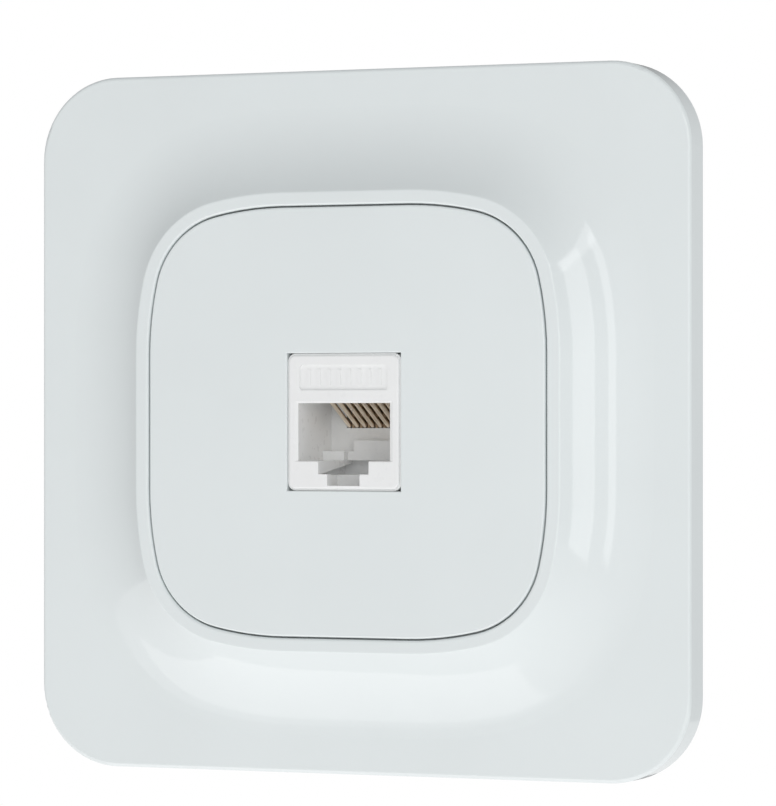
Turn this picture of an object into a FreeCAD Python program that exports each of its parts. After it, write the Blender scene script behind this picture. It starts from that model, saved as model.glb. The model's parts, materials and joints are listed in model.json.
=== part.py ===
import FreeCAD, Part
import math
import os
import re

import Sketcher

# A flush-mounted wall outlet for network cable: a square frame with a raised rim, a centre plate that
# is level with the rim, and one snap-in jack module. The wall's surface is the plane y = 0. The
# outlet's front looks along -Y, +X is to the right as seen from the front, and +Z is up. The origin is
# the middle of the support plate's rear face, on the wall. Depths are distances from the wall: words
# ending in _front are in front of it, and words ending in _back are behind it, inside the box.

SIZES = {
    # how far a cut runs past the surface it opens, and how far joined blocks run into each other
    "overcut": 1.0, "overlap": 0.1,
    # outer frame
    "frame_wide": 84.0, "frame_corner": 10.0, "border_front": 4.3, "frame_edge": 0.45,
    "frame_wall": 1.8, "frame_skin": 1.8, "relief_deep": 1.6, "relief_gap": 0.5, "section_reach": 25.0,
    # raised rim round the window, and the slope that runs out of it into the flat border
    "rim_front": 8.2, "rim_flat": 1.6, "slope_wide": 10.2, "rim_inner_edge": 0.3, "rim_outer_edge": 0.35,
    "ledge_wide": 1.5, "ledge_front": 6.5, "window_wall": 2.0, "hollow_front": 4.9,
    # the squircle outline: straight middle, long blend arc, corner arc
    "plate_half": 25.5, "window_gap": 0.2, "side_straight": 8.0, "side_blend": 40.0, "plate_turn": 10.2,
    # centre plate
    "plate_thick": 1.6, "plate_edge": 0.25, "skirt_inset": 1.55, "skirt_thick": 1.5, "skirt_front": 2.0,
    "opening_wide": 14.68, "opening_tall": 16.34, "opening_edge": 0.15,
    "tongue_thick": 1.1, "tongue_wide": 6.0, "tongue_back": 4.2, "tongue_side": 21.2, "tongue_rise": 10.5,
    "tooth_out": 0.25, "tooth_long": 0.8, "tooth_step": 1.5, "tooth_end": 0.5,
    # support plate
    "support_wide": 71.0, "support_corner": 5.0, "support_thick": 1.2, "box_spacing": 60.0,
    "slot_radius": 1.9, "slot_long": 6.6, "well_wide": 19.0, "well_tall": 25.0, "well_corner": 1.0,
    "tongue_slot_wide": 2.2, "tongue_slot_tall": 6.6,
    "lug_wide": 4.0, "lug_thick": 1.0, "lug_back": 4.6, "lug_gap": 0.4,
    # jack carrier and its two screws
    "tube_wide": 18.4, "tube_tall": 20.8, "tube_front": 6.3, "tube_back": 1.4,
    "seat_wide": 14.65, "seat_tall": 16.6, "seat_front": 4.5, "mouth_tall": 16.3,
    "flange_wide": 26.0, "flange_tall": 38.0, "flange_thick": 1.5, "flange_corner": 0.8, "flange_edge": 0.3,
    "rib_front": 2.0, "rib_thick": 1.4, "rib_high": 0.75,
    "fixing_rise": 15.6, "fixing_radius": 1.25, "fixing_head": 2.2, "fixing_head_high": 1.5,
    "fixing_back": 1.3, "fixing_gap": 0.03, "fixing_slot": 0.7, "head_round": 0.4,
    # jack module
    "jack_wide": 14.6, "jack_tall": 16.26, "jack_back": 5.4, "face_inset": 0.2, "face_deep": 0.35,
    "jack_edge": 0.25, "jack_turn": 0.8,
    "port_wide": 11.84, "port_tall": 6.85, "port_low": -4.6, "port_back": 1.8,
    "port_lead": 0.42, "port_lead_low": 0.12, "port_lead_deep": 0.2,
    "catch_wide": 6.5, "catch_low": -6.2,
    "tab_wide": 4.2, "tab_low": -7.55, "tab_wall": 1.25, "tab_long": 5.8,
    "ramp_wide": 8.6, "ramp_low": -6.3, "ramp_back": 2.2, "ramp_rise_front": -6.1, "ramp_rise_back": -4.93,
    "stop_tall": 2.37, "stop_wide": 8.35, "stop_front_back": 0.5,
    "step_tall": 1.1, "step_wide": 2.75, "step_front": 0.7,
    "label_wide": 11.35, "label_tall": 3.05, "label_rise": 5.28, "label_deep": 0.25, "label_turn": 0.4,
    "mark_wide": 0.5, "mark_tall": 1.9, "mark_high": 0.12, "mark_step": 1.3,
    "groove_deep": 0.7, "groove_gap": 0.1,
    "roof_wide": 8.6, "roof_top": 4.6, "roof_front": 6.3, "throat_wide": 7.8, "throat_low": -0.72,
    "latch_bay_wide": 8.4, "latch_bay_floor": 6.1, "latch_bay_front": 3.4,
    # latch lever on top of the module
    "latch_wide": 7.6, "latch_thick": 0.8, "latch_turn_front": 2.6, "latch_turn_rise": 7.3,
    "latch_tilt": 6.0, "latch_back": 5.1, "latch_catch_back": 1.6, "latch_catch_long": 1.3,
    "latch_catch_flat": 0.3, "latch_catch_slope": 0.6, "latch_catch_rise": 9.0,
    "latch_tab_rise": 10.2, "latch_tab_long": 0.8,
    # spring wires
    "wire_radius": 0.29, "wire_barrel": 0.3, "wire_barrel_long": 0.62, "wire_step": 1.02,
    "wire_turn_front": 5.6, "wire_turn_rise": 3.55,
    "wire_tip_back": 1.8, "wire_tip_rise": -0.38, "lead_rise": 4.2, "lead_front": 5.6,
    "comb_wide": 7.76, "comb_low": -0.7, "comb_top": 3.6, "comb_slot_wide": 0.72, "comb_slot_deep": 1.9,
    # board and cable terminals
    "board_wide": 13.2, "board_tall": 12.2, "board_thick": 1.2, "board_low": -6.6, "board_gap": 0.1,
    "block_wide": 14.4, "block_tall": 15.6, "block_base": 1.4, "tower_wide": 5.0, "tower_gap": 4.4,
    "tower_high": 8.6, "tower_edge": 0.4, "cable_slot": 1.0, "cable_slot_deep": 6.6, "cable_step": 3.6,
    "blade_thick": 0.5, "blade_wide": 2.6, "blade_high": 5.6, "blade_gap": 0.08,
    "blade_slit": 0.3, "blade_slit_deep": 4.5,
    "cap_wall": 1.0, "cap_gap": 0.15, "cap_deep": 4.0, "cap_roof": 1.1, "cap_edge": 0.6,
    "cap_notch": 1.4, "cap_notch_end": 1.2,
    # spreading claws
    "claw_screw_side": 17.5, "claw_screw_radius": 1.5, "claw_screw_back": 22.5,
    "claw_head_radius": 2.8, "claw_head_high": 1.9, "claw_head_gap": 0.05, "claw_screw_gap": 0.2,
    "claw_slot": 0.8,
    "nut_wide": 7.0, "nut_thick": 2.5, "nut_back": 19.0, "nut_travel": 7.0, "nut_gap": 0.05,
    "claw_turn_side": 24.5, "claw_turn_back": 2.6, "claw_barrel": 1.7, "claw_pin_radius": 0.8,
    "claw_pin_gap": 0.05, "claw_wide": 10.0, "claw_angle": 18.0, "claw_gap": 0.15, "claw_thick": 1.5,
    "claw_neck": 1.0, "claw_ramp_end": 1.2, "claw_end_back": 21.5, "claw_outer": 25.3,
    "claw_bite": 26.9, "claw_bite_rise": 0.2, "claw_fork": 4.4, "claw_fork_wide": 6.0,
    "claw_teeth": 5, "claw_notch_deep": 0.6, "claw_notch": 0.8,
}

doc = FreeCAD.newDocument("network_outlet")
sheet = doc.addObject("Spreadsheet::Sheet", "dim")
for row, (word, value) in enumerate(SIZES.items(), 1):
    sheet.set(f"A{row}", word)
    sheet.set(f"B{row}", str(value))
    sheet.setAlias(f"B{row}", word)
doc.recompute()

PIECES = []


# ---- sizes and small builders ---------------------------------------------------------------------

def bound(text):
    """A sum in the sheet's words, such as 'rim_front - plate_thick', written as the document reads it."""
    return re.sub(r"[a-z_]+", lambda found: "dim." + found[0] if found[0] in SIZES else found[0], text)


def size(text):
    """What such a sum comes to now, in millimetres or degrees."""
    return float(sheet.evalExpression(bound(text)))


def bind(item, **sums):
    for name, text in sums.items():
        item.setExpression(name, bound(text))
    return item


def place(item, x="0", y="0", z="0"):
    for axis, text in zip("xyz", (x, y, z)):
        item.setExpression(f".Placement.Base.{axis}", bound(text))
    return item


def piece(item, label):
    """Marks an object as a finished piece, with the name of its file."""
    item.Label = label
    PIECES.append(item)
    return item


def slab(wide, tall, front, back, x="0", z="0"):
    """A block centred on (x, z), from y = front to y = back."""
    item = doc.addObject("Part::Box", "Slab")
    bind(item, Length=wide, Width=f"({back}) - ({front})", Height=tall)
    return place(item, f"({x}) - ({wide}) / 2", front, f"({z}) - ({tall}) / 2")


def rod(radius, front, back, x="0", z="0"):
    """A round bar along Y, from y = front to y = back."""
    item = doc.addObject("Part::Cylinder", "Rod")
    bind(item, Radius=radius, Height=f"({back}) - ({front})")
    item.Placement.Rotation = FreeCAD.Rotation(FreeCAD.Vector(1, 0, 0), -90)
    return place(item, x, front, z)


def ball(radius, x, y, z):
    item = doc.addObject("Part::Sphere", "Ball")
    return place(bind(item, Radius=radius), x, y, z)


def fused(parts, name="Fused"):
    item = doc.addObject("Part::MultiFuse", name)
    item.Shapes = parts
    item.Refine = True
    return item


def less(base, tools, name="Less"):
    """The base with every tool cut out of it."""
    item = doc.addObject("Part::Cut", name)
    item.Base = base
    item.Tool = fused(tools, "Tools") if len(tools) > 1 else tools[0]
    item.Refine = True
    return item


def group(parts, name="Group"):
    item = doc.addObject("Part::Compound", name)
    item.Links = parts
    return item


def mirrored(source, label):
    """The same piece on the left side."""
    item = doc.addObject("Part::Mirroring", "Mirrored")
    item.Source = source
    item.Normal = FreeCAD.Vector(1, 0, 0)
    return piece(item, label)


def rounded_edges(base, radius, wanted, name="Rounded"):
    """The base with the edges that wanted() picks rounded off."""
    doc.recompute()
    item = doc.addObject("Part::Fillet", name)
    item.Base = base
    amount = size(radius)
    chosen = [number for number, edge in enumerate(base.Shape.Edges, 1) if wanted(edge)]
    item.Edges = [(number, amount, amount) for number in chosen]
    return item


def lies_at(edge, y):
    """Whether an edge lies in the plane of one depth."""
    return abs(edge.BoundBox.YMin - y) < 1e-4 and abs(edge.BoundBox.YMax - y) < 1e-4


def reach(edge):
    """How far the middle of an edge is from the outlet's axis, along X or Z."""
    middle = edge.valueAt((edge.FirstParameter + edge.LastParameter) / 2)
    return max(abs(middle.x), abs(middle.z))


# ---- bodies and sketches --------------------------------------------------------------------------

def new_body(label):
    body = doc.addObject("PartDesign::Body", label.title().replace("_", ""))
    return piece(body, label)


def new_sketch(body, name, plane="XZ_Plane", lift="0"):
    """A sketch on one of the body's own planes. On XZ_Plane, lift counts towards the front."""
    item = body.newObject("Sketcher::SketchObject", name)
    item.AttachmentSupport = [(part, "") for part in body.Origin.OriginFeatures if part.Role == plane]
    item.MapMode = "FlatFace"
    item.setExpression(".AttachmentOffset.Base.z", bound(lift))
    return item


def hold(sketch, kind, *where, name="", value=""):
    """Adds a constraint, and binds it to the sheet where it has a size."""
    if not value:
        return sketch.addConstraint(Sketcher.Constraint(kind, *where))
    number = sketch.addConstraint(Sketcher.Constraint(kind, *where, size(value)))
    sketch.setExpression(f"Constraints[{number}]", bound(value))
    return number


def draw_circle(sketch, radius, x="0", y="0"):
    centre = FreeCAD.Vector(size(x), size(y), 0)
    ring = sketch.addGeometry(Part.Circle(centre, FreeCAD.Vector(0, 0, 1), size(radius)))
    hold(sketch, "Radius", ring, value=radius)
    hold(sketch, "DistanceX", -1, 1, ring, 3, value=x)
    hold(sketch, "DistanceY", -1, 1, ring, 3, value=y)


def draw_loop(sketch, corners, smooth=False):
    """A closed loop. A corner is (x, y) or, where an arc leads on to the next, (x, y, middle)."""
    points = [FreeCAD.Vector(corner[0], corner[1], 0) for corner in corners]
    edges = []
    for number, corner in enumerate(corners):
        start, end = points[number], points[(number + 1) % len(points)]
        if len(corner) == 3:
            middle = FreeCAD.Vector(corner[2][0], corner[2][1], 0)
            edges.append(sketch.addGeometry(Part.Arc(start, middle, end)))
        else:
            edges.append(sketch.addGeometry(Part.LineSegment(start, end)))
    return edges


def ends(sketch, edge, point):
    """The end of an edge, 1 or 2, that is nearest to a point."""
    place_1, place_2 = sketch.getPoint(edge, 1), sketch.getPoint(edge, 2)
    return 1 if (place_1 - point).Length < (place_2 - point).Length else 2


def join_edges(sketch, edges, corners, kinds):
    """Joins each edge to the next, by a Coincident or a Tangent constraint."""
    for number, edge in enumerate(edges):
        following = edges[(number + 1) % len(edges)]
        corner = corners[(number + 1) % len(corners)]
        point = FreeCAD.Vector(corner[0], corner[1], 0)
        near, far = ends(sketch, edge, point), ends(sketch, following, point)
        hold(sketch, kinds[number % len(kinds)], edge, near, following, far)


def draw_rectangle(sketch, wide, tall, x="0", y="0"):
    left, low = size(f"({x}) - ({wide}) / 2"), size(f"({y}) - ({tall}) / 2")
    right, top = left + size(wide), low + size(tall)
    corners = [(left, low), (right, low), (right, top), (left, top)]
    edges = draw_loop(sketch, corners)
    join_edges(sketch, edges, corners, ["Coincident"])
    for number, kind in enumerate(["Horizontal", "Vertical"] * 2):
        hold(sketch, kind, edges[number])
    hold(sketch, "DistanceX", edges[0], 1, edges[0], 2, value=wide)
    hold(sketch, "DistanceY", edges[1], 1, edges[1], 2, value=tall)
    hold(sketch, "DistanceX", -1, 1, edges[0], 1, value=f"({x}) - ({wide}) / 2")
    hold(sketch, "DistanceY", -1, 1, edges[0], 1, value=f"({y}) - ({tall}) / 2")


def draw_slot(sketch, long, radius, x="0", y="0", upright=False):
    """A slot with round ends. Its length is counted from end to end."""
    flat, bend = size(f"({long}) / 2 - ({radius})"), size(radius)
    middle = FreeCAD.Vector(size(x), size(y), 0)
    along = FreeCAD.Vector(0, 1, 0) if upright else FreeCAD.Vector(1, 0, 0)
    aside = FreeCAD.Vector(-along.y, along.x, 0)
    corners = []
    for sign in (1, -1):
        centre = middle + along * flat * sign
        start, end = centre - aside * bend * sign, centre + aside * bend * sign
        tip = centre + along * bend * sign
        corners += [(start.x, start.y, (tip.x, tip.y)), (end.x, end.y)]
    edges = draw_loop(sketch, corners)
    join_edges(sketch, edges, corners, ["Tangent"])
    hold(sketch, "Radius", edges[0], value=radius)
    hold(sketch, "Vertical" if upright else "Horizontal", edges[1])
    hold(sketch, "Distance", edges[1], value=f"({long}) - 2 * ({radius})")
    shift_x, shift_y = ("0", f"({long}) / 2 - ({radius})") if upright else (f"({long}) / 2 - ({radius})", "0")
    hold(sketch, "DistanceX", -1, 1, edges[0], 3, value=f"({x}) + {shift_x}")
    hold(sketch, "DistanceY", -1, 1, edges[0], 3, value=f"({y}) + {shift_y}")


def draw_rounded(sketch, wide, tall, turn, x="0", y="0"):
    """A rectangle with round corners."""
    half_x, half_y, radius = size(wide) / 2, size(tall) / 2, size(turn)
    middle_x, middle_y = size(x), size(y)
    flat_x, flat_y = half_x - radius, half_y - radius
    bulge = radius * math.sqrt(0.5)
    corners = []
    for quarter, (sign_x, sign_y) in enumerate([(1, 1), (-1, 1), (-1, -1), (1, -1)]):
        centre = (middle_x + sign_x * flat_x, middle_y + sign_y * flat_y)
        side = (centre[0] + sign_x * radius, centre[1])
        cap = (centre[0], centre[1] + sign_y * radius)
        first, second = (side, cap) if quarter % 2 == 0 else (cap, side)
        corners.append((*first, (centre[0] + sign_x * bulge, centre[1] + sign_y * bulge)))
        corners.append(second)
    edges = draw_loop(sketch, corners)
    join_edges(sketch, edges, corners, ["Tangent"])
    arcs, lines = edges[0::2], edges[1::2]
    hold(sketch, "Radius", arcs[0], value=turn)
    for arc in arcs[1:]:
        hold(sketch, "Equal", arcs[0], arc)
    for line, kind in zip(lines, ["Horizontal", "Vertical", "Horizontal"]):
        hold(sketch, kind, line)
    hold(sketch, "DistanceX", -1, 1, arcs[0], 3, value=f"({x}) + ({wide}) / 2 - ({turn})")
    hold(sketch, "DistanceY", -1, 1, arcs[0], 3, value=f"({y}) + ({tall}) / 2 - ({turn})")
    hold(sketch, "DistanceX", arcs[1], 3, arcs[0], 3, value=f"({wide}) - 2 * ({turn})")
    hold(sketch, "DistanceY", arcs[3], 3, arcs[0], 3, value=f"({tall}) - 2 * ({turn})")


def squircle_corners(offset):
    """The outline of the centre plate, moved outwards by offset: a straight middle on each side, a long
    blend arc on both sides of it, and a corner arc that is tangent to two blend arcs."""
    half, straight, blend, turn = (size(word) for word in
                                   ("plate_half", "side_straight", "side_blend", "plate_turn"))
    low = half - blend
    corner = (straight + low + math.sqrt(2 * (blend - turn) ** 2 - (straight - low) ** 2)) / 2
    lean = math.atan2(corner - straight, corner - low)

    def on_blend(angle):
        return (straight + (blend + offset) * math.sin(angle), low + (blend + offset) * math.cos(angle))

    diagonal = corner + (turn + offset) * math.sqrt(0.5)
    meet, middle = on_blend(lean), on_blend(lean / 2)
    eighth = [((half + offset), -straight), (half + offset, straight, middle[::-1]),
              (*meet[::-1], (diagonal, diagonal)), (*meet, middle)]
    quarter_turns = [(1, 0), (0, 1), (-1, 0), (0, -1)]
    corners = []
    for cosine, sine in quarter_turns:
        for entry in eighth:
            turned = [(x * cosine - y * sine, x * sine + y * cosine) for x, y in [entry[:2], *entry[2:]]]
            corners.append((*turned[0], *turned[1:]))
    return corners


def draw_squircle(sketch, offset="0"):
    """The plate's outline, or a parallel of it, held by its four driving sizes."""
    corners = squircle_corners(size(offset))
    edges = draw_loop(sketch, corners)
    join_edges(sketch, edges, corners, ["Tangent"])
    lines, corner_arcs = edges[0::4], edges[2::4]
    blend_arcs = edges[1::4] + edges[3::4]
    hold(sketch, "Radius", blend_arcs[0], value=f"side_blend + ({offset})")
    for arc in blend_arcs[1:]:
        hold(sketch, "Equal", blend_arcs[0], arc)
    hold(sketch, "Radius", corner_arcs[0], value=f"plate_turn + ({offset})")
    for arc in corner_arcs[1:]:
        hold(sketch, "Equal", corner_arcs[0], arc)
    for number, line in enumerate(lines):
        hold(sketch, "Symmetric", line, 1, line, 2, -1 if number % 2 == 0 else -2)
        hold(sketch, "Distance", line, value="2 * side_straight")
        hold(sketch, "Distance", -1, 1, line, value=f"plate_half + ({offset})")
    return edges


def pad(body, sketch, length, name, midplane=False):
    item = body.newObject("PartDesign::Pad", name)
    item.Profile = sketch
    item.Midplane = midplane
    return bind(item, Length=length)


def pocket(body, sketch, length, name, to_front=False):
    """Cuts a sketch into the body, backwards as a rule, and compares the volumes."""
    doc.recompute()
    before = body.Shape.Volume
    item = body.newObject("PartDesign::Pocket", name)
    item.Profile = sketch
    item.Reversed = to_front
    bind(item, Length=length)
    doc.recompute()
    if body.Shape.Volume > before - 1e-3:
        raise RuntimeError(f"{name} cuts nothing out of {body.Label}")
    return item


def fillet(body, radius, edges, name):
    """Rounds off the edges of the body's present shape that edges() picks."""
    doc.recompute()
    base = body.Tip
    chosen = [f"Edge{number}" for number, edge in enumerate(base.Shape.Edges, 1) if edges(edge)]
    item = body.newObject("PartDesign::Fillet", name)
    item.Base = (base, chosen)
    return bind(item, Radius=radius)


# ---- outer frame ----------------------------------------------------------------------------------

def frame_section():
    """Half of the frame's section at the right, from the window's ledge out over the rim, down the slope
    and along the border, as (x, y) corners. The slope is tangent to the border."""
    window = size("plate_half + window_gap")
    ledge = size("plate_half + window_gap - ledge_wide")
    rim, border = -size("rim_front"), -size("border_front")
    step = -size("ledge_front")
    small, edge = size("rim_inner_edge"), size("rim_outer_edge")
    foot = window + size("rim_flat + slope_wide")
    drop = border - rim
    curve = (size("slope_wide") ** 2 + drop ** 2) / (2 * drop)
    middle_y = border - curve
    edge_y = rim + edge
    edge_x = foot - math.sqrt((curve + edge) ** 2 - (edge_y - middle_y) ** 2)
    share = curve / (curve + edge)
    meet = (foot + (edge_x - foot) * share, middle_y + (edge_y - middle_y) * share)
    lean = math.atan2(foot - meet[0], meet[1] - middle_y)
    halfway = (foot - curve * math.sin(lean / 2), middle_y + curve * math.cos(lean / 2))
    turn = lean / 2
    edge_mid = (edge_x + edge * math.sin(turn), edge_y - edge * math.cos(turn))
    inner_mid = (window + small * (1 - math.sqrt(0.5)), rim + small * (1 - math.sqrt(0.5)))
    beyond = window + size("section_reach")
    return [(ledge, 0), (ledge, step), (window, step), (window, rim + small, inner_mid),
            (window + small, rim), (edge_x, rim, edge_mid), (*meet, halfway), (foot, border),
            (beyond, border), (beyond, 0)]


def hollow_section():
    """The hollow behind the rim and the slope, with a roof that runs parallel to the slope."""
    window = size("plate_half + window_gap")
    inner = size("plate_half + window_gap - ledge_wide + window_wall")
    foot = window + size("rim_flat + slope_wide")
    drop = size("rim_front - border_front")
    curve = (size("slope_wide") ** 2 + drop ** 2) / (2 * drop)
    middle_y = -size("border_front") - curve
    outer = curve + size("frame_skin")
    roof, behind = -size("hollow_front"), size("overcut")
    roof_x = foot - math.sqrt(outer ** 2 - (roof - middle_y) ** 2)
    lean = math.atan2(foot - roof_x, roof - middle_y)
    halfway = (foot - outer * math.sin(lean / 2), middle_y + outer * math.cos(lean / 2))
    return [(inner, behind), (inner, roof), (roof_x, roof, halfway), (foot, middle_y + outer),
            (foot, behind)]


def swept(body, section, name, kind):
    """Carries a section round the window's outline."""
    path = new_sketch(body, name + "Path")
    draw_squircle(path, "window_gap")
    outline = new_sketch(body, name + "Section", "XY_Plane", "-side_straight")
    corners = section()
    edges = draw_loop(outline, corners)
    join_edges(outline, edges, corners, ["Coincident"])
    item = body.newObject(kind, name)
    item.Profile = outline
    item.Spine = path
    return item


def make_frame():
    body = new_body("outer_frame")
    swept(body, frame_section, "Rim", "PartDesign::AdditivePipe")
    outside = new_sketch(body, "OutsideSketch", lift="-overcut")
    draw_rectangle(outside, "frame_wide * 2", "frame_wide * 2")
    draw_rounded(outside, "frame_wide", "frame_wide", "frame_corner")
    pocket(body, outside, "rim_front + 2 * overcut", "Outside", to_front=True)
    hollow = new_sketch(body, "HollowSketch")
    draw_rounded(hollow, "frame_wide - 2 * frame_wall", "frame_wide - 2 * frame_wall",
                 "frame_corner - frame_wall")
    draw_squircle(hollow, "window_gap - ledge_wide + window_wall")
    pocket(body, hollow, "border_front - frame_skin", "Hollow", to_front=True)
    swept(body, hollow_section, "SlopeHollow", "PartDesign::SubtractivePipe")
    relief = new_sketch(body, "ReliefSketch")
    draw_squircle(relief, "window_gap - ledge_wide + window_wall + relief_gap")
    pocket(body, relief, "relief_deep", "Relief", to_front=True)
    front = -size("border_front")
    slope_end = size("plate_half + window_gap + rim_flat + slope_wide + frame_edge")
    fillet(body, "frame_edge", lambda edge: lies_at(edge, front) and reach(edge) > slope_end, "FrontEdge")
    return body


# ---- centre plate ---------------------------------------------------------------------------------

def draw_four(sketch, draw, x, y):
    """Draws one thing at the four places (x, y), (-x, y), (x, -y) and (-x, -y)."""
    for sign_x in ("", "-"):
        for sign_y in ("", "-"):
            draw(sketch, f"{sign_x}({x})", f"{sign_y}({y})")


def make_centre_plate():
    body = new_body("centre_plate")
    face = new_sketch(body, "FaceSketch", lift="rim_front - plate_thick")
    draw_squircle(face)
    draw_rectangle(face, "opening_wide", "opening_tall")
    pad(body, face, "plate_thick", "Face")
    skirt = new_sketch(body, "SkirtSketch", lift="skirt_front")
    draw_squircle(skirt, "-skirt_inset")
    draw_squircle(skirt, "-skirt_inset - skirt_thick")
    pad(body, skirt, "rim_front - plate_thick - skirt_front + overlap", "Skirt")
    tongues = new_sketch(body, "TongueSketch", lift="-tongue_back")
    draw_four(tongues, lambda sketch, x, y: draw_rectangle(sketch, "tongue_thick", "tongue_wide", x, y),
              "tongue_side", "tongue_rise")
    pad(body, tongues, "rim_front - plate_thick + tongue_back + overlap", "Tongues")
    for number in range(2):
        teeth = new_sketch(body, f"TeethSketch{number}",
                           lift=f"-tongue_back + tooth_end + {number} * tooth_step")
        draw_four(teeth, lambda sketch, x, y: draw_rectangle(
            sketch, "tongue_thick + 2 * tooth_out", "tongue_wide", x, y), "tongue_side", "tongue_rise")
        pad(body, teeth, "tooth_long", f"Teeth{number}")
    front = -size("rim_front")
    opening = size("opening_tall")
    fillet(body, "plate_edge", lambda edge: lies_at(edge, front) and reach(edge) > opening, "OuterEdge")
    fillet(body, "opening_edge", lambda edge: lies_at(edge, front) and reach(edge) < opening, "InnerEdge")
    return body


# ---- support plate --------------------------------------------------------------------------------

def make_support():
    body = new_body("support_plate")
    plan = new_sketch(body, "PlanSketch")
    draw_rounded(plan, "support_wide", "support_wide", "support_corner")
    draw_rounded(plan, "well_wide", "well_tall", "well_corner")
    for sign in ("", "-"):
        draw_slot(plan, "slot_long", "slot_radius", f"{sign}box_spacing / 2", "0")
        draw_slot(plan, "slot_long", "slot_radius", "0", f"{sign}box_spacing / 2", upright=True)
        draw_circle(plan, "claw_screw_radius + claw_screw_gap", f"{sign}claw_screw_side", "0")
        draw_circle(plan, "fixing_radius + fixing_gap", "0", f"{sign}fixing_rise")
    draw_four(plan, lambda sketch, x, y: draw_rectangle(sketch, "tongue_slot_wide", "tongue_slot_tall", x, y),
              "tongue_side", "tongue_rise")
    pad(body, plan, "support_thick", "Plan")
    lugs = new_sketch(body, "LugSketch", lift="-lug_back")
    draw_four(lugs, lambda sketch, x, y: draw_rectangle(sketch, "lug_wide", "lug_thick", x, y),
              "claw_turn_side", "claw_wide / 2 + lug_gap + lug_thick / 2")
    pad(body, lugs, "lug_back + overlap", "Lugs")
    holes = new_sketch(body, "PinHoleSketch", "XY_Plane", "claw_wide")
    for sign in ("", "-"):
        draw_circle(holes, "claw_pin_radius", f"{sign}claw_turn_side", "claw_turn_back")
    pocket(body, holes, "2 * claw_wide", "PinHoles")
    return body


# ---- jack carrier ---------------------------------------------------------------------------------

def make_carrier():
    """A tube round the jack with a flange that is screwed to the support plate."""
    tube = slab("tube_wide", "tube_tall", "-tube_front", "tube_back")
    plate = slab("flange_wide", "flange_tall", "-support_thick - flange_thick", "-support_thick")
    front = -size("support_thick + flange_thick")
    turned = rounded_edges(plate, "flange_corner", lambda edge: edge.BoundBox.YLength > size("flange_edge"))
    flange = rounded_edges(turned, "flange_edge", lambda edge: lies_at(edge, front))
    seat = slab("seat_wide", "seat_tall", "-seat_front", "tube_back + overcut")
    mouth = slab("seat_wide", "mouth_tall", "-tube_front - overcut", "-seat_front + overlap")
    fixings = [rod("fixing_radius + fixing_gap", "-tube_front", "0", "0", f"{sign}fixing_rise")
               for sign in ("", "-")]
    shell = less(fused([tube, flange]), [seat, mouth, *fixings])
    rib = slab("seat_wide", "rib_high", "-rib_front", "-rib_front + rib_thick", "0",
               "-seat_tall / 2 + rib_high / 2")
    return piece(fused([shell, rib], "JackCarrier"), "jack_carrier")


def pan_screw(radius, head_radius, head_high, slot, under, back, x, z):
    """A slotted screw along Y, with its head in front of y = under."""
    head = rod(head_radius, f"({under}) - {head_high}", under, x, z)
    shank = rod(radius, under, back, x, z)
    solid = fused([head, shank])
    top = size(f"({under}) - {head_high}")
    round_head = rounded_edges(solid, f"{head_high} * head_round", lambda edge: lies_at(edge, top))
    cut = slab(f"3 * {head_radius}", slot, f"({under}) - 2 * {head_high}", f"({under}) - {head_high} / 2",
               x, z)
    return less(round_head, [cut])


def make_carrier_screws():
    screws = [pan_screw("fixing_radius", "fixing_head", "fixing_head_high", "fixing_slot",
                        "-support_thick - flange_thick", "fixing_back", "0", f"{sign}fixing_rise")
              for sign in ("", "-")]
    return piece(group(screws), "carrier_screws")


# ---- jack module ----------------------------------------------------------------------------------

def taper(label, front, back, wide, low, top, back_wide, back_low, back_top):
    """A block on the middle plane that is one rectangle at its front and another at its back."""
    item = doc.addObject("Part::Wedge", label)
    return bind(item, Ymin=front, Xmin=f"-({wide}) / 2", Xmax=f"({wide}) / 2", Zmin=low, Zmax=top,
                Ymax=back, X2min=f"-({back_wide}) / 2", X2max=f"({back_wide}) / 2", Z2min=back_low,
                Z2max=back_top)


def port_tools():
    """The plug port: the main cavity, the slot for the plug's catch, the narrow slot in the front wall for
    its tab, the pocket behind that wall, the wide pocket with a sloping roof, and the lead-in."""
    middle = "port_low + port_tall / 2"
    outside = "-rim_front - overcut"
    cavity = slab("port_wide", "port_tall", outside, "port_back", "0", middle)
    catch = slab("catch_wide", "port_low - catch_low + overcut", outside, "port_back", "0",
                 "(port_low + overcut + catch_low) / 2")
    tab_tall, tab_middle = "catch_low - tab_low + overcut", "(catch_low + overcut + tab_low) / 2"
    tab = slab("tab_wide", tab_tall, outside, "-rim_front + tab_long", "0", tab_middle)
    pocket_behind = slab("catch_wide", tab_tall, "-rim_front + tab_wall", "-rim_front + tab_long", "0",
                         tab_middle)
    ramp = taper("Ramp", "-rim_front + tab_wall", "ramp_back", "ramp_wide", "ramp_low", "ramp_rise_front",
                 "ramp_wide", "ramp_low", "ramp_rise_back")
    port_top = "port_low + port_tall"
    lead = taper("LeadIn", "-rim_front", "-rim_front + port_lead_deep", "port_wide + 2 * port_lead",
                 "port_low - port_lead_low", f"{port_top} + port_lead / 2", "port_wide", "port_low", port_top)
    return [cavity, catch, tab, pocket_behind, ramp, lead]


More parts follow.
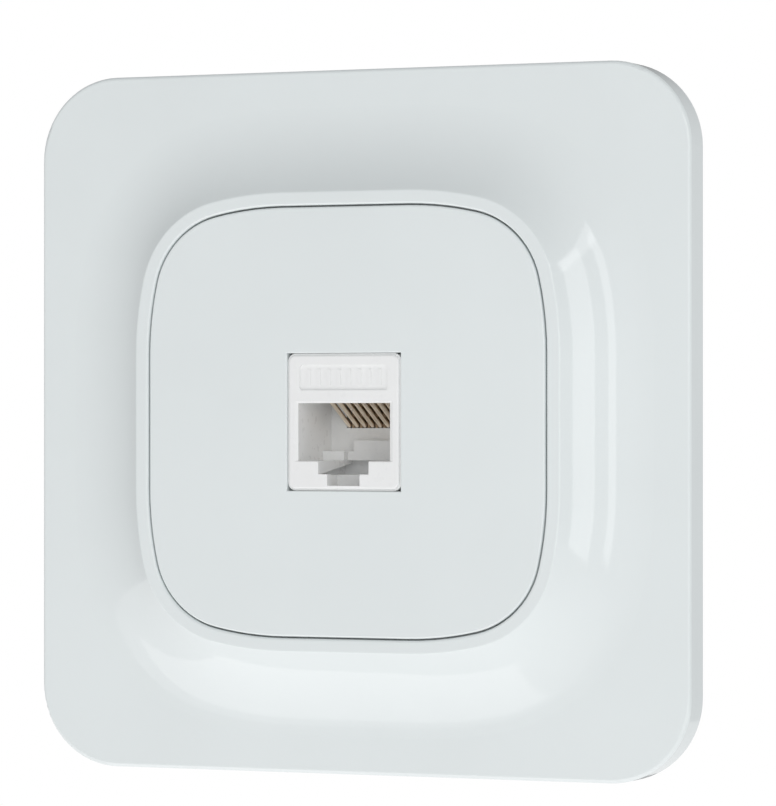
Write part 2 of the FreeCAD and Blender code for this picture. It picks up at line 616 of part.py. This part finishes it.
def make_housing():
    """The moulded jack: a block with a slightly smaller face, with the port, the label recess, the bay for
    the latch and the groove for the carrier's rib cut out of it, and a sill and two stops left standing in
    the port."""
    jack_half = "jack_tall / 2"
    body = slab("jack_wide", "jack_tall", "-rim_front + face_deep", "jack_back")
    turned = rounded_edges(body, "jack_turn + face_inset",
                           lambda edge: edge.BoundBox.YLength > size("jack_back"))
    face = slab("jack_wide - 2 * face_inset", "jack_tall - 2 * face_inset", "-rim_front",
                "-rim_front + face_deep + overlap")
    face_turned = rounded_edges(face, "jack_turn", lambda edge: edge.BoundBox.YLength > size("face_deep"))
    front = -size("rim_front")
    block = fused([turned, rounded_edges(face_turned, "jack_edge", lambda edge: lies_at(edge, front))])
    label = slab("label_wide", "label_tall", "-rim_front - overcut", "-rim_front + label_deep", "0",
                 "label_rise")
    label_round = rounded_edges(label, "label_turn", lambda edge: edge.BoundBox.YLength > size("label_deep"))
    behind = "jack_back + overcut"
    roof = slab("roof_wide", "roof_top - port_low - port_tall + overcut", "-roof_front", behind, "0",
                "(roof_top + port_low + port_tall - overcut) / 2")
    throat = slab("throat_wide", "roof_top - throat_low", "port_back - overlap", behind, "0",
                  "(roof_top + throat_low) / 2")
    groove = slab("jack_wide + overcut", "2 * groove_deep", "-rib_front - groove_gap",
                  "-rib_front + rib_thick + groove_gap", "0", f"-{jack_half}")
    bay = slab("latch_bay_wide", "2 * (jack_tall / 2 - latch_bay_floor)", "-latch_bay_front", behind, "0",
               jack_half)
    shell = less(block, [*port_tools(), label_round, roof, throat, groove, bay])
    stop = slab("stop_wide", "stop_tall", "stop_front_back", "port_back + overlap",
                "(port_wide - stop_wide) / 2", "port_low + stop_tall / 2")
    step = slab("step_wide", "step_tall", "-step_front", "port_back + overlap",
                "(step_wide - port_wide) / 2", "port_low + step_tall / 2")
    sill = slab("port_wide", "step_tall", "stop_front_back", "port_back + overlap", "0",
                "port_low + step_tall / 2")
    marks = [slab("mark_wide", "mark_tall", "-rim_front + label_deep - mark_high",
                  "-rim_front + label_deep + overlap", f"({number} - 3.5) * mark_step", "label_rise")
             for number in range(8)]
    return piece(fused([shell, stop, step, sill, *marks], "JackHousing"), "jack_housing")


def make_latch():
    """The lever: a barrel at its front, a sloping arm, a catch behind the carrier and a finger tab."""
    body = new_body("jack_latch")
    side = new_sketch(body, "SideSketch", "YZ_Plane")
    tilt = math.radians(size("latch_tilt"))
    half = size("latch_thick") / 2
    turn_y, turn_z = -size("latch_turn_front"), size("latch_turn_rise")

    def above(y, sign):
        return turn_z + (y - turn_y) * math.tan(tilt) + sign * half / math.cos(tilt)

    end, catch = size("latch_back"), size("latch_catch_back")
    catch_end = catch + size("latch_catch_long + latch_catch_slope")
    tab = end - size("latch_tab_long")
    low = (turn_y + half * math.sin(tilt), turn_z - half * math.cos(tilt))
    high = (turn_y - half * math.sin(tilt), turn_z + half * math.cos(tilt))
    nose = (turn_y - half * math.cos(tilt), turn_z - half * math.sin(tilt))
    corners = [low, (end, above(end, -1)), (end, size("latch_tab_rise")), (tab, size("latch_tab_rise")),
               (tab, above(tab, 1)), (catch_end, above(catch_end, 1)),
               (catch + size("latch_catch_flat"), size("latch_catch_rise")),
               (catch, size("latch_catch_rise")),
               (catch, above(catch, 1)), (*high, nose)]
    edges = draw_loop(side, corners)
    join_edges(side, edges, corners, ["Coincident"])
    hold(side, "DistanceY", -1, 1, edges[2], 1, value="latch_tab_rise")
    hold(side, "DistanceY", -1, 1, edges[6], 1, value="latch_catch_rise")
    pad(body, side, "latch_wide", "Arm", midplane=True)
    return body


# ---- spring wires, comb and leads -----------------------------------------------------------------

def wire_place(number):
    """Where wire number 1 to 8 lies along X, counted from the left."""
    return f"({number} - 4.5) * wire_step"


def make_contact(number):
    """One spring wire: it slopes down and back from the barrel at its front turn to its free tip."""
    x = wire_place(number)
    lean = math.atan2(size("wire_turn_rise - wire_tip_rise"), size("wire_tip_back + wire_turn_front"))
    wire = doc.addObject("Part::Cylinder", "Wire")
    bind(wire, Radius="wire_radius",
         Height="sqrt((wire_tip_back + wire_turn_front) ^ 2 + (wire_turn_rise - wire_tip_rise) ^ 2)")
    wire.Placement.Rotation = FreeCAD.Rotation(FreeCAD.Vector(1, 0, 0), -90 - math.degrees(lean))
    place(wire, x, "-wire_turn_front", "wire_turn_rise")
    barrel = doc.addObject("Part::Cylinder", "Barrel")
    bind(barrel, Radius="wire_barrel", Height="wire_barrel_long")
    barrel.Placement.Rotation = FreeCAD.Rotation(FreeCAD.Vector(0, 1, 0), 90)
    place(barrel, f"{x} - wire_barrel_long / 2", "-wire_turn_front", "wire_turn_rise")
    tip = ball("wire_radius", x, "wire_tip_back", "wire_tip_rise")
    return piece(fused([wire, barrel, tip], "Contact"), f"contact_{number}")


def make_leads():
    """The wires' fixed runs, from above the port back to the board."""
    leads = []
    for number in range(1, 9):
        x = wire_place(number)
        lead = rod("wire_radius", "-lead_front", BOARD_FRONT, x, "lead_rise")
        leads.append(fused([lead, ball("wire_radius", x, "-lead_front", "lead_rise")]))
    return piece(group(leads), "contact_leads")


def make_comb():
    """The insert behind the wires' free tips, with an upright slot for each."""
    tall, middle = "comb_top - comb_low", "(comb_top + comb_low) / 2"
    block = slab("comb_wide", tall, "port_back", "jack_back", "0", middle)
    slots = [slab("comb_slot_wide", f"{tall} + 2 * overcut", "port_back - overcut",
                  "port_back + comb_slot_deep", wire_place(number), middle)
             for number in range(1, 9)]
    return piece(less(block, slots, "ContactComb"), "contact_comb")


# ---- board, terminals and caps --------------------------------------------------------------------

BOARD_FRONT = "jack_back + board_gap"
BLOCK_FRONT = BOARD_FRONT + " + board_thick"
TOWER_TOP = BLOCK_FRONT + " + block_base + tower_high"
TOWER_SIDE = "(tower_gap + tower_wide) / 2"


def cable_places():
    """The four places of a tower's wires along Z."""
    return [f"({number} - 1.5) * cable_step" for number in range(4)]


def make_board():
    board = slab("board_wide", "board_tall", BOARD_FRONT, BLOCK_FRONT, "0", "board_low + board_tall / 2")
    return piece(board, "circuit_board")


def make_idc_block():
    """Two towers on one base. Each has four slots for wires, and under each slot a hole for a blade."""
    base = slab("block_wide", "block_tall", BLOCK_FRONT, BLOCK_FRONT + " + block_base")
    towers = [slab("tower_wide", "block_tall", BLOCK_FRONT + " + block_base / 2", TOWER_TOP,
                   f"{sign}{TOWER_SIDE}") for sign in ("", "-")]
    top = size(TOWER_TOP)
    block = rounded_edges(fused([base, *towers]), "tower_edge",
                          lambda edge: lies_at(edge, top) and edge.BoundBox.ZLength > 0)
    cuts = []
    for rise in cable_places():
        cuts.append(slab("2 * block_wide", "cable_slot", TOWER_TOP + " - cable_slot_deep",
                         TOWER_TOP + " + overcut", "0", rise))
        for sign in ("", "-"):
            cuts.append(slab("blade_thick + 2 * blade_gap", "blade_wide + 2 * blade_gap",
                             BLOCK_FRONT + " - overcut",
                             TOWER_TOP + " - cable_slot_deep + blade_high + blade_gap",
                             f"{sign}{TOWER_SIDE}", rise))
    return piece(less(block, cuts, "IdcBlock"), "idc_block")


def make_blades():
    """The forked blades that cut into the cable's wires."""
    blades = []
    top = TOWER_TOP + " - cable_slot_deep + blade_high"
    for sign in ("", "-"):
        for rise in cable_places():
            blade = slab("blade_thick", "blade_wide", BLOCK_FRONT, top, f"{sign}{TOWER_SIDE}", rise)
            slit = slab("2 * blade_thick", "blade_slit", top + " - blade_slit_deep", top + " + overcut",
                        f"{sign}{TOWER_SIDE}", rise)
            blades.append(less(blade, [slit]))
    return piece(group(blades), "idc_terminals")


def make_cap():
    """The right cap: a box over the tower, open towards the board, with notches for the wires."""
    outer_wide = "tower_wide + 2 * cap_gap + 2 * cap_wall"
    outer_tall = "block_tall + 2 * cap_gap + 2 * cap_wall"
    front = TOWER_TOP + " - cap_deep"
    inner_back = TOWER_TOP + " + cap_gap"
    shell = slab(outer_wide, outer_tall, front, inner_back + " + cap_roof", TOWER_SIDE)
    roof = size(inner_back)
    soft = rounded_edges(shell, "cap_edge", lambda edge: edge.BoundBox.YMax > roof)
    hollow = slab("tower_wide + 2 * cap_gap", "block_tall + 2 * cap_gap", front + " - overcut", inner_back,
                  TOWER_SIDE)
    notches = [slab("2 * block_wide", "cap_notch", front + " - overcut", inner_back + " - cap_notch_end",
                    TOWER_SIDE, rise) for rise in cable_places()]
    return piece(less(soft, [hollow, *notches], "IdcCapRight"), "idc_cap_right")


# ---- spreading claws ------------------------------------------------------------------------------

def nut_contact(share):
    """Where the nut's outer front corner touches the claw, in the claw's place at rest, when the claw has
    made this share of its swing and the nut the same share of its travel."""
    angle = math.radians(size("claw_angle")) * share
    out = size("claw_screw_side + nut_wide / 2 + claw_gap - claw_turn_side")
    back = size("nut_back - claw_turn_back") - size("nut_travel") * share - size("claw_gap")
    x = out * math.cos(angle) - back * math.sin(angle)
    y = out * math.sin(angle) + back * math.cos(angle)
    return (x + size("claw_turn_side"), y + size("claw_turn_back"))


def make_claw():
    """The right claw: a barrel round its pin, a curved ramp for the nut on the inside, and a bent toothed
    end that bites into the box."""
    body = new_body("claw_right")
    side = new_sketch(body, "ProfileSketch", "XY_Plane")
    turn = (size("claw_turn_side"), size("claw_turn_back"))
    barrel = size("claw_barrel")
    end, outer, bite = size("claw_end_back"), size("claw_outer"), size("claw_bite")
    thick, neck, rise = size("claw_thick"), size("claw_neck"), size("claw_bite_rise")
    ramp_far, ramp_mid, ramp_near = nut_contact(0), nut_contact(0.5), nut_contact(1)
    corners = [(turn[0] - barrel, turn[1] + neck), (ramp_near[0], ramp_near[1] - size("claw_ramp_end")),
               (*ramp_near, ramp_mid), ramp_far, (outer - thick, end), (bite, end + rise),
               (bite, end - thick + rise), (outer, end - thick), (turn[0] + barrel, turn[1] + neck)]
    edges = draw_loop(side, corners)
    join_edges(side, edges, corners, ["Coincident"])
    pad(body, side, "claw_wide", "Profile", midplane=True)
    barrel_sketch = new_sketch(body, "BarrelSketch", "XY_Plane")
    draw_circle(barrel_sketch, "claw_barrel", "claw_turn_side", "claw_turn_back")
    pad(body, barrel_sketch, "claw_wide", "Barrel", midplane=True)
    hole = new_sketch(body, "PinSketch", "XY_Plane", "claw_wide")
    draw_circle(hole, "claw_pin_radius + claw_pin_gap", "claw_turn_side", "claw_turn_back")
    pocket(body, hole, "2 * claw_wide", "PinHole")
    behind = "-claw_end_back - 2 * overcut"
    fork = new_sketch(body, "ForkSketch", lift=behind)
    draw_rectangle(fork, "claw_fork_wide", "claw_fork", "claw_turn_side - claw_barrel - claw_fork_wide / 2")
    pocket(body, fork, "claw_end_back", "Fork", to_front=True)
    notches = new_sketch(body, "NotchSketch", lift=behind)
    for number in range(1, int(size("claw_teeth"))):
        draw_rectangle(notches, "2 * claw_notch_deep", "claw_notch", "claw_bite",
                       f"({number} / claw_teeth - 1 / 2) * claw_wide")
    pocket(body, notches, "claw_thick + 3 * overcut", "Notches", to_front=True)
    return body


def make_claw_pin():
    pin = doc.addObject("Part::Cylinder", "ClawPin")
    bind(pin, Radius="claw_pin_radius", Height="claw_wide + 2 * lug_gap + 2 * lug_thick")
    place(pin, "claw_turn_side", "claw_turn_back", "-claw_wide / 2 - lug_gap - lug_thick")
    return piece(pin, "claw_pin_right")


def make_claw_screw():
    screw = pan_screw("claw_screw_radius", "claw_head_radius", "claw_head_high", "claw_slot",
                      "-support_thick - claw_head_gap", "claw_screw_back", "claw_screw_side", "0")
    return piece(screw, "claw_screw_right")


def make_claw_nut():
    nut = slab("nut_wide", "nut_wide", "nut_back", "nut_back + nut_thick", "claw_screw_side")
    bore = rod("claw_screw_radius + nut_gap", "nut_back - overcut", "nut_back + nut_thick + overcut",
               "claw_screw_side")
    return piece(less(nut, [bore], "ClawNut"), "claw_nut_right")


# ---- the whole outlet -----------------------------------------------------------------------------

make_frame()
make_centre_plate()
make_support()
make_carrier()
make_carrier_screws()
make_housing()
make_latch()
for wire_number in range(1, 9):
    make_contact(wire_number)
make_leads()
make_comb()
make_board()
make_idc_block()
make_blades()
for make_right in (make_cap, make_claw, make_claw_pin, make_claw_screw, make_claw_nut):
    right = make_right()
    mirrored(right, right.Label.replace("_right", "_left"))
doc.recompute()

for item in doc.Objects:
    if {"Invalid", "Error"} & set(item.State):
        raise RuntimeError(f"{item.Name} ({item.Label}) failed: {item.State}")
os.makedirs("parts", exist_ok=True)
for item in PIECES:
    if item.Shape.isNull() or not item.Shape.isValid() or not item.Shape.Solids:
        raise RuntimeError(f"{item.Label} has no valid solid")
    item.Shape.exportStep(f"parts/{item.Label}.step")
print(f"{len(PIECES)} pieces written")
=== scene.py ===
import json
import math

import bpy
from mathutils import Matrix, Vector

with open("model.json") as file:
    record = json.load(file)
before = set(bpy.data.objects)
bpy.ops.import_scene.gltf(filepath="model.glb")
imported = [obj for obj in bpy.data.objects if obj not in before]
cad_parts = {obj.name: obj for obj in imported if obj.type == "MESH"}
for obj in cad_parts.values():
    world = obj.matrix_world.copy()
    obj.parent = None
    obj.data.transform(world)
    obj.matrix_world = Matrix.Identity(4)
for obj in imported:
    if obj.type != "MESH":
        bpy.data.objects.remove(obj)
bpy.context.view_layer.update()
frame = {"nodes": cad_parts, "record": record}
NODES = frame["nodes"]
MM = 0.001

# ---- camera, backdrop and light -------------------------------------------------------------------

VIEW_ANGLE = math.radians(23.5)      # the camera stands to the right of the outlet, level with it
VIEW_DISTANCE = 0.522
BORDER_FRONT = -4.3 * MM             # the plane of the frame's flat border

STEADY_LIGHT = 0.26                  # strength of the studio light that comes from every side
GLOWS = [                            # light added to it: the side, the cosine where it starts, the strength
    ((0.35, -1.0, -0.1), 0.6, 0.48),
    ((1.0, 0.9, 0.0), 0.2, 0.32),
    ((0.1, -0.3, 1.0), 0.1, 0.24),
]
BOX_DISTANCE = 0.5
NEUTRAL, ROSY = (1.0, 1.0, 1.0), (1.0, 0.965, 0.965)
SOFT_BOXES = [                       # name, angle, height, width, length, radiance and tint
    ("tall_box", 43.2, 5.5, 0.16, 0.33, 1.65, NEUTRAL),
    ("strip_box", 20.0, 5.8, 0.055, 0.28, 1.7, NEUTRAL),
    ("top_box", 35.0, 22.0, 0.32, 0.05, 1.45, NEUTRAL),
    ("low_box", -33.0, -40.0, 0.4, 0.34, 0.98, ROSY),
]


def add_object(name, data):
    thing = bpy.data.objects.new(name, data)
    bpy.context.scene.collection.objects.link(thing)
    return thing


def from_view(angle, height, distance):
    """A place in front of the outlet: angle to the right of straight ahead, height above level."""
    turn, rise = math.radians(angle), math.radians(height)
    level = distance * math.cos(rise)
    return Vector((level * math.sin(turn), -level * math.cos(turn), distance * math.sin(rise)))


def aim(thing, place, target=(0.0, 0.0, 0.0)):
    thing.location = place
    thing.rotation_euler = (Vector(place) - Vector(target)).to_track_quat("Z", "Y").to_euler()


def make_camera():
    data = bpy.data.cameras.new("camera")
    data.lens = 195.9
    data.sensor_width = 36.0
    data.shift_x = 0.0392
    data.shift_y = 0.0236
    data.clip_start = 0.01
    camera = add_object("camera", data)
    target = Vector((0.0, BORDER_FRONT, 0.0))
    back = Vector((math.sin(VIEW_ANGLE), -math.cos(VIEW_ANGLE), 0.0))
    aim(camera, target + back * VIEW_DISTANCE, target)
    bpy.context.scene.camera = camera


def glow(tree, place, direction, start, strongest):
    """A strength that grows smoothly from nothing as the place looked at nears one direction."""
    towards = tree.nodes.new("ShaderNodeVectorMath")
    towards.operation = "DOT_PRODUCT"
    towards.inputs[1].default_value = Vector(direction).normalized()
    strength = tree.nodes.new("ShaderNodeMapRange")
    strength.interpolation_type = "SMOOTHSTEP"
    strength.inputs["From Min"].default_value = start
    strength.inputs["To Max"].default_value = strongest
    tree.links.new(place, towards.inputs[0])
    tree.links.new(towards.outputs["Value"], strength.inputs["Value"])
    return strength.outputs["Result"]


def make_world():
    """A white studio: plain white behind the outlet, and around it soft light that is strongest in front,
    on the right and above."""
    world = bpy.data.worlds.new("studio")
    bpy.context.scene.world = world
    world.use_nodes = True
    nodes, links = world.node_tree.nodes, world.node_tree.links
    nodes.clear()
    out = nodes.new("ShaderNodeOutputWorld")
    seen = nodes.new("ShaderNodeBackground")
    seen.inputs["Color"].default_value = (1.0, 1.0, 1.0, 1.0)
    lit = nodes.new("ShaderNodeBackground")
    lit.inputs["Color"].default_value = (0.97, 0.985, 1.0, 1.0)
    place = nodes.new("ShaderNodeTexCoord").outputs["Generated"]
    steady = nodes.new("ShaderNodeValue")
    steady.outputs[0].default_value = STEADY_LIGHT
    total = steady.outputs[0]
    for direction, start, strongest in GLOWS:
        more = nodes.new("ShaderNodeMath")
        more.operation = "ADD"
        links.new(total, more.inputs[0])
        links.new(glow(world.node_tree, place, direction, start, strongest), more.inputs[1])
        total = more.outputs[0]
    path = nodes.new("ShaderNodeLightPath")
    mix = nodes.new("ShaderNodeMixShader")
    links.new(total, lit.inputs["Strength"])
    links.new(path.outputs["Is Camera Ray"], mix.inputs[0])
    links.new(lit.outputs[0], mix.inputs[1])
    links.new(seen.outputs[0], mix.inputs[2])
    links.new(mix.outputs[0], out.inputs[0])


def soft_box(name, angle, height, wide, tall, radiance, tint):
    """A rectangular light. Its power follows from how bright it looks, so it can be resized freely."""
    data = bpy.data.lights.new(name, "AREA")
    data.color = tint
    data.shape = "RECTANGLE"
    data.size, data.size_y = wide, tall
    data.energy = radiance * math.pi * wide * tall
    aim(add_object(name, data), from_view(angle, height, BOX_DISTANCE))


def make_floor():
    """A pale floor well under the outlet, which hangs on a wall in use."""
    half, depth = 3.0, -0.75
    mesh = bpy.data.meshes.new("floor")
    mesh.from_pydata([(-half, -half, depth), (half, -half, depth), (half, half, depth), (-half, half, depth)],
                     [], [(0, 1, 2, 3)])
    floor = add_object("floor", mesh)
    material = bpy.data.materials.new("floor")
    material.use_nodes = True
    shader = material.node_tree.nodes["Principled BSDF"]
    shader.inputs["Base Color"].default_value = (0.9, 0.9, 0.9, 1.0)
    shader.inputs["Roughness"].default_value = 0.8
    shader.inputs["Emission Color"].default_value = (1.0, 1.0, 1.0, 1.0)
    shader.inputs["Emission Strength"].default_value = 0.45
    mesh.materials.append(material)


def make_studio():
    make_camera()
    make_world()
    make_floor()
    for box in SOFT_BOXES:
        soft_box(*box)
    bpy.context.scene.view_settings.view_transform = "Standard"


# ---- materials ------------------------------------------------------------------------------------

class Surface:
    """A Principled material whose colour, roughness and relief come from procedural patterns laid out in
    the object's own coordinates."""

    def __init__(self, name, colour, roughness, metallic=0.0, **sockets):
        self.material = bpy.data.materials.new(name)
        self.material.use_nodes = True
        self.nodes = self.material.node_tree.nodes
        self.links = self.material.node_tree.links
        self.shader = self.nodes["Principled BSDF"]
        self.shader.inputs["Base Color"].default_value = (*colour, 1.0)
        self.shader.inputs["Roughness"].default_value = roughness
        self.shader.inputs["Metallic"].default_value = metallic
        for socket, value in sockets.items():
            self.shader.inputs[socket.replace("_", " ")].default_value = value
        self.place = self.nodes.new("ShaderNodeTexCoord").outputs["Object"]

    def stretched(self, stretch):
        mapping = self.nodes.new("ShaderNodeMapping")
        mapping.inputs["Scale"].default_value = stretch
        self.links.new(self.place, mapping.inputs["Vector"])
        return mapping.outputs["Vector"]

    def noise(self, size, detail=3.0, stretch=(1.0, 1.0, 1.0)):
        """Soft noise whose blotches are about size metres across."""
        texture = self.nodes.new("ShaderNodeTexNoise")
        texture.inputs["Scale"].default_value = 1.0 / size
        texture.inputs["Detail"].default_value = detail
        self.links.new(self.stretched(stretch), texture.inputs["Vector"])
        return texture.outputs["Fac"]

    def cells(self, size):
        """Flat cells about size metres across, each with a grey of its own."""
        texture = self.nodes.new("ShaderNodeTexVoronoi")
        texture.inputs["Scale"].default_value = 1.0 / size
        self.links.new(self.place, texture.inputs["Vector"])
        split = self.nodes.new("ShaderNodeSeparateColor")
        self.links.new(texture.outputs["Color"], split.inputs["Color"])
        return split.outputs["Red"]

    def colours(self, pattern, first, second, low=0.3, high=0.7):
        ramp = self.nodes.new("ShaderNodeValToRGB")
        ramp.color_ramp.elements[0].position = low
        ramp.color_ramp.elements[1].position = high
        ramp.color_ramp.elements[0].color = (*first, 1.0)
        ramp.color_ramp.elements[1].color = (*second, 1.0)
        self.links.new(pattern, ramp.inputs["Fac"])
        self.links.new(ramp.outputs["Color"], self.shader.inputs["Base Color"])

    def roughness(self, pattern, low, high):
        span = self.nodes.new("ShaderNodeMapRange")
        span.inputs["From Min"].default_value = 0.3
        span.inputs["From Max"].default_value = 0.7
        span.inputs["To Min"].default_value = low
        span.inputs["To Max"].default_value = high
        self.links.new(pattern, span.inputs["Value"])
        self.links.new(span.outputs["Result"], self.shader.inputs["Roughness"])

    def relief(self, *layers):
        """Bumps: each layer is a pattern and its depth in metres."""
        below = None
        for pattern, depth in layers:
            bump = self.nodes.new("ShaderNodeBump")
            bump.inputs["Distance"].default_value = depth
            self.links.new(pattern, bump.inputs["Height"])
            if below:
                self.links.new(below, bump.inputs["Normal"])
            below = bump.outputs["Normal"]
        self.links.new(below, self.shader.inputs["Normal"])


def shade(colour, amount):
    return tuple(channel * amount for channel in colour)


def glossy_white(name, colour):
    """Polished moulded plastic: a clear gloss with a faint waviness and tiny changes of tone."""
    surface = Surface(name, colour, 0.055, IOR=1.5)
    surface.colours(surface.noise(0.02), shade(colour, 0.985), shade(colour, 1.01))
    surface.roughness(surface.noise(0.004), 0.045, 0.075)
    surface.relief((surface.noise(0.009, 1.0), 4e-6), (surface.noise(0.0006, 2.0), 2.5e-7))
    return surface.material


def satin_plastic(name, colour, roughness=0.34):
    """Moulded plastic with the fine spark-eroded grain of an unpolished tool."""
    surface = Surface(name, colour, roughness, IOR=1.49, Specular_IOR_Level=0.25)
    surface.colours(surface.noise(0.006), shade(colour, 0.985), shade(colour, 1.01))
    surface.roughness(surface.noise(0.0012), roughness - 0.05, roughness + 0.06)
    surface.relief((surface.noise(0.0004, 1.0), 3e-7))
    return surface.material


def zinc_steel(name, tint, roughness=0.3):
    """Zinc-plated sheet steel: pale spangle, rolling lines and a faint blue and straw passivation."""
    surface = Surface(name, tint, roughness, metallic=1.0)
    warm = (tint[0] * 1.02, tint[1] * 0.985, tint[2] * 0.93)
    cool = (tint[0] * 0.93, tint[1] * 0.98, tint[2] * 1.03)
    surface.colours(surface.noise(0.011, 4.0), cool, warm)
    surface.roughness(surface.cells(0.0016), roughness - 0.05, roughness + 0.08)
    surface.relief((surface.noise(0.0002, 3.0, (1.0, 1.0, 0.03)), 2.5e-6), (surface.noise(0.0015), 4e-6))
    return surface.material


def plated(name, colour, roughness, dark):
    """Thin plating over drawn wire or stamped strip, with fine lines along it and a duller patch here and
    there."""
    surface = Surface(name, colour, roughness, metallic=1.0)
    surface.colours(surface.noise(0.0016, 2.0), shade(colour, dark), colour)
    surface.roughness(surface.noise(0.0008), roughness - 0.04, roughness + 0.05)
    surface.relief((surface.noise(0.00006, 2.0, (1.0, 0.05, 0.1)), 3e-7))
    return surface.material


def solder_mask(name):
    """A green board: lacquer over copper tracks that show as paler stripes."""
    surface = Surface(name, (0.02, 0.14, 0.06), 0.3, IOR=1.5)
    tracks = surface.noise(0.0011, 1.0, (1.0, 1.0, 0.2))
    surface.colours(tracks, (0.012, 0.10, 0.045), (0.03, 0.20, 0.09), 0.47, 0.53)
    surface.roughness(surface.noise(0.0009), 0.22, 0.38)
    surface.relief((tracks, 1.2e-5))
    return surface.material


WHITE = (0.85, 0.895, 0.895)
JACK_WHITE = (0.93, 0.935, 0.93)
MATERIALS = {
    "frame_plastic": glossy_white("frame_plastic", WHITE),
    "plate_plastic": glossy_white("plate_plastic", WHITE),
    "jack_plastic": satin_plastic("jack_plastic", JACK_WHITE, 0.3),
    "carrier_plastic": satin_plastic("carrier_plastic", (0.68, 0.69, 0.67)),
    "cap_plastic": satin_plastic("cap_plastic", (0.55, 0.58, 0.60), 0.28),
    # painted shade: the comb's dark brown stands in for the shaded hollow between and behind the gold contact
    # wires, not the colour of its plastic
    "comb_plastic": satin_plastic("comb_plastic", (0.42, 0.30, 0.19), 0.4),
    "support_steel": zinc_steel("support_steel", (0.66, 0.67, 0.68)),
    "claw_steel": zinc_steel("claw_steel", (0.60, 0.60, 0.60), 0.34),
    "screw_steel": zinc_steel("screw_steel", (0.72, 0.72, 0.70), 0.24),
    "contact_gold": plated("contact_gold", (1.0, 0.87, 0.72), 0.3, 0.94),
    "terminal_tin": plated("terminal_tin", (0.74, 0.73, 0.70), 0.3, 0.85),
    "board_green": solder_mask("board_green"),
}


def dress_nodes():
    """Gives every carried-over node the material of its slot in the record."""
    for entry in frame["record"]["subparts"]:
        node = NODES[entry["node"]]
        node.data.materials.clear()
        node.data.materials.append(MATERIALS[entry["material_slot"]])


make_studio()
dress_nodes()
